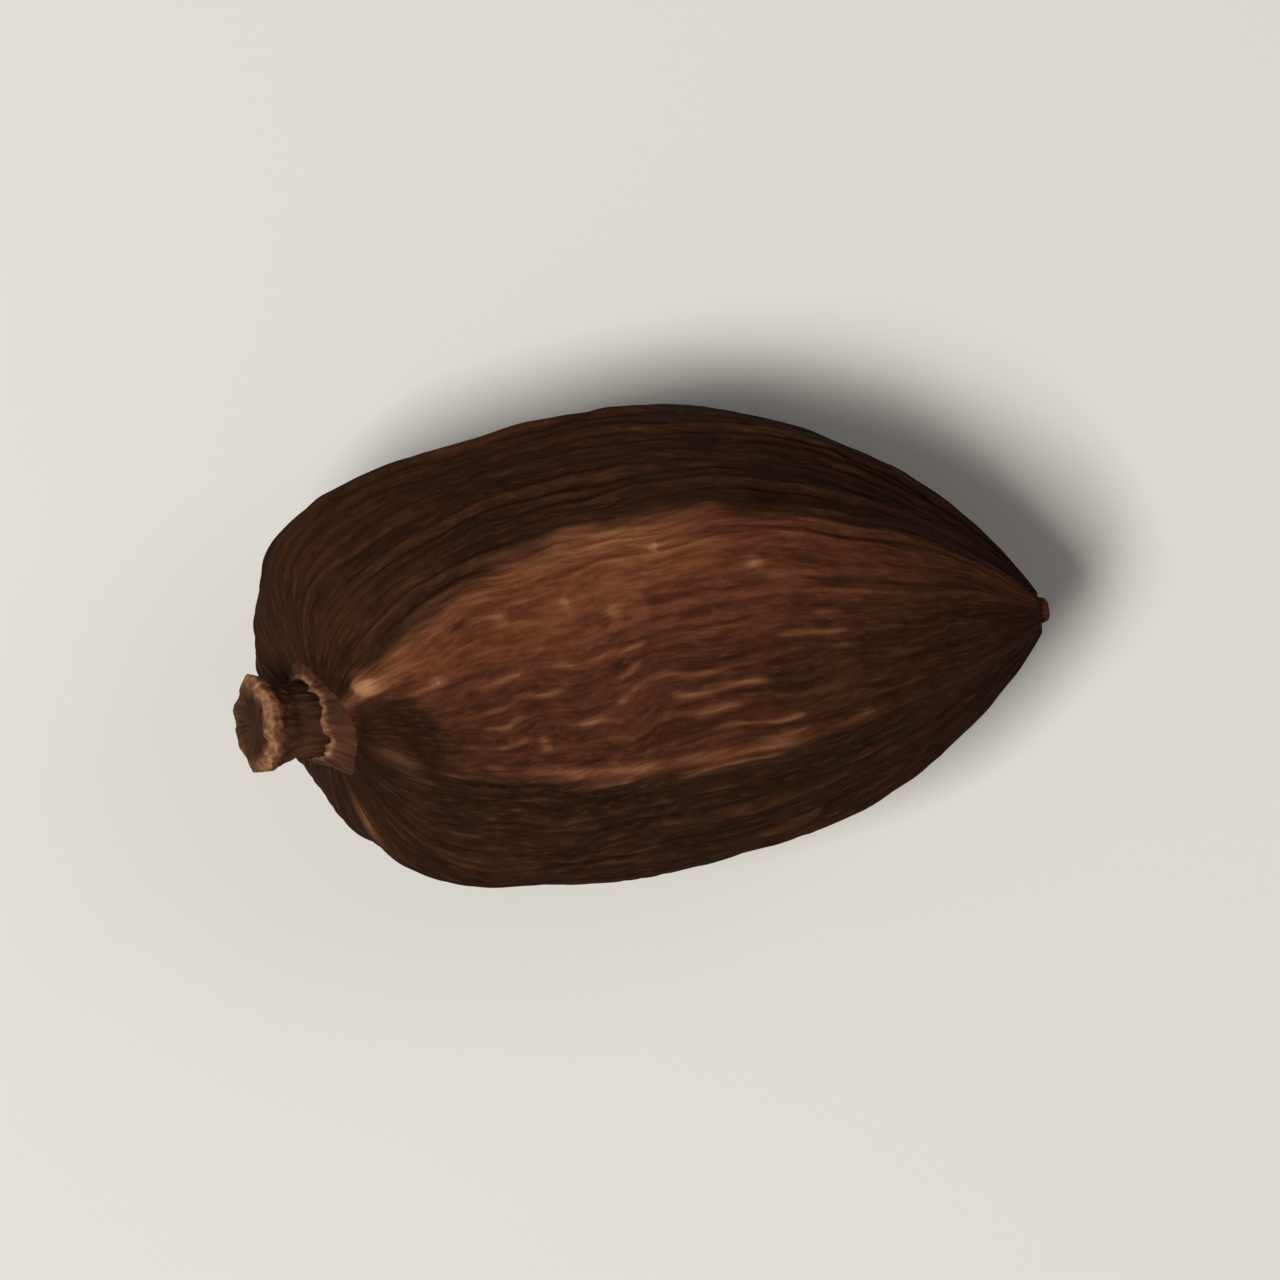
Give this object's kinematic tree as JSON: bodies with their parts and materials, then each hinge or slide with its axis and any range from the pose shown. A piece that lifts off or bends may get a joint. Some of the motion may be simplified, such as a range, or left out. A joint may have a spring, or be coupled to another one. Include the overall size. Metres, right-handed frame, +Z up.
{
  "type": "amomum costatum pod",
  "caption": "Dried brown spice pod lying on its side: egg-shaped ribbed husk with blunt lengthwise crests, a broken stalk stub at the broad end and a small beak at the pointed tip",
  "frame": {"origin": "bottom centre of the bounding box, on the surface that the pod lies on", "axes": "+X from the stalk stub to the pointed tip, +Z up from the rest spot to the broad upper face, +Y to the fuller side of the pod"},
  "size_m": [0.0324, 0.0186, 0.0179],
  "materials": {
    "husk": "matte, leathery, dark reddish brown with worn tan rib crests"
  },
  "bodies": {
    "root": {"pod": "husk"}
  },
  "joints": []
}
